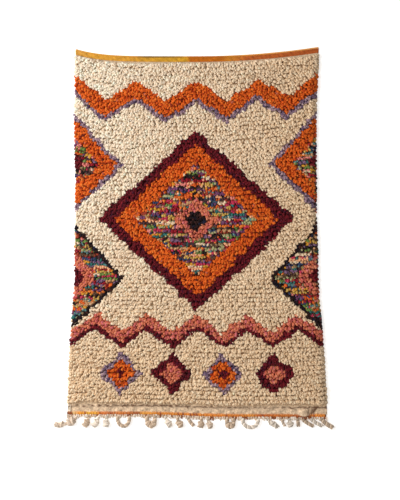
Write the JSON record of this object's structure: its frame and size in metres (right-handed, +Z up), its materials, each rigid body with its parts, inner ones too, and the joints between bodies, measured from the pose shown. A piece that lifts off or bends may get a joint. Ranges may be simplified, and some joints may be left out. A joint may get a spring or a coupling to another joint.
{
  "type": "azilal rug",
  "caption": "Hand-knotted shaggy wool rug lying flat, pile upwards, with a coloured woven end at the top and a fringed flat-woven end below.",
  "frame": {"origin": "under the middle of the rug's outline, fringe included, on the surface that it lies on", "axes": "+Z up out of the pile, +Y along the warp towards the coloured end, +X across the rug to the right, seen from above with the fringe nearest"},
  "size_m": [1.0836, 1.4898, 0.0205],
  "materials": {
    "pile_wool": "matte",
    "ground_weave": "matte",
    "band_wool": "matte",
    "cord_wool": "matte",
    "fringe_wool": "matte"
  },
  "bodies": {
    "root": {"rug_body": "pile_wool", "top_band": "band_wool", "top_cord": "cord_wool", "end_cord": "cord_wool", "fringe": "fringe_wool"}
  },
  "joints": []
}
